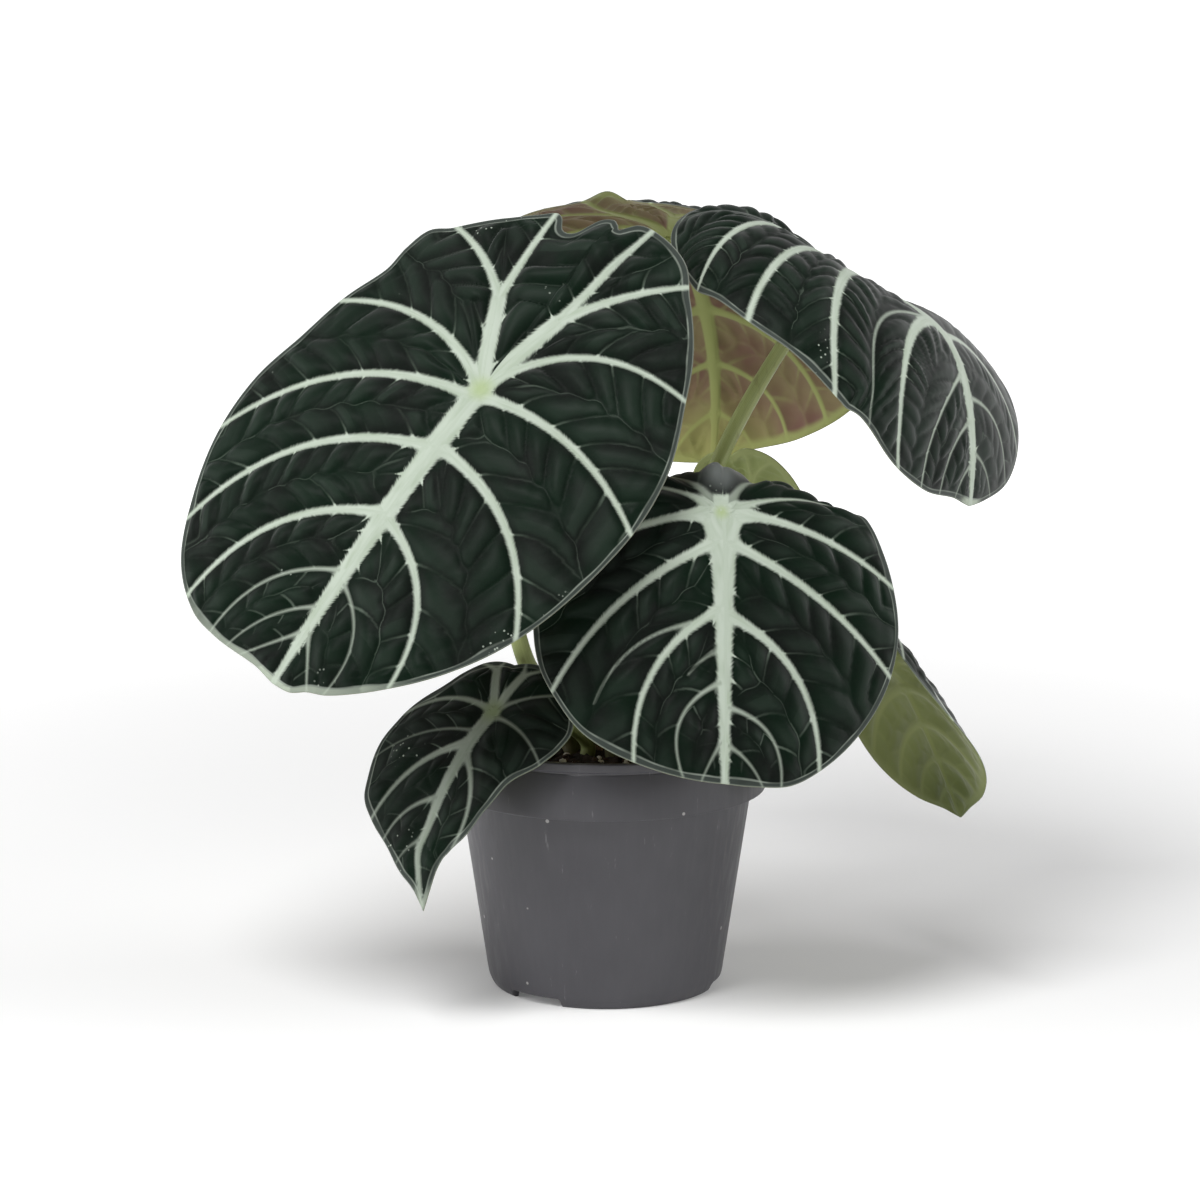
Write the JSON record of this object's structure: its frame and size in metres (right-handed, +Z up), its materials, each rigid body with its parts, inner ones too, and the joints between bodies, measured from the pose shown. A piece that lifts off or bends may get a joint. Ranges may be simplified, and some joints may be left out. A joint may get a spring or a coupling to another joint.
{
  "type": "potted ninja alocasia",
  "caption": "Potted ninja alocasia: quilted blackish green shield leaves with broad pale veins on arching stalks, in a round grey plastic nursery pot.",
  "frame": {"origin": "on the pot's axis, at the middle of the flat pad under the pot, level with the foot ring", "axes": "+Z up along the pot's axis; -Y towards the viewer who sees the upper faces of the large front leaves; +X to that viewer's right"},
  "size_m": [0.3035, 0.2544, 0.2897],
  "materials": {
    "pot_plastic": "matt moulded plastic with fine scuffs",
    "potting_mix": "damp dark crumbs with pale perlite grains",
    "rootstock_skin": "dull fibrous skin",
    "leaf_blade": "satin leathery upper face with pale veins, matt reddish to olive underside",
    "leaf_stalk": "smooth satin skin with fine lengthwise streaks"
  },
  "bodies": {
    "root": {"pot": "pot_plastic", "soil": "potting_mix", "rootstock": "rootstock_skin", "blade_a": "leaf_blade", "blade_b": "leaf_blade", "blade_c": "leaf_blade", "blade_d": "leaf_blade", "blade_e": "leaf_blade", "blade_f": "leaf_blade", "blade_g": "leaf_blade", "stalk_a": "leaf_stalk", "stalk_b": "leaf_stalk", "stalk_c": "leaf_stalk", "stalk_d": "leaf_stalk", "stalk_e": "leaf_stalk", "stalk_f": "leaf_stalk", "stalk_g": "leaf_stalk"}
  },
  "joints": []
}
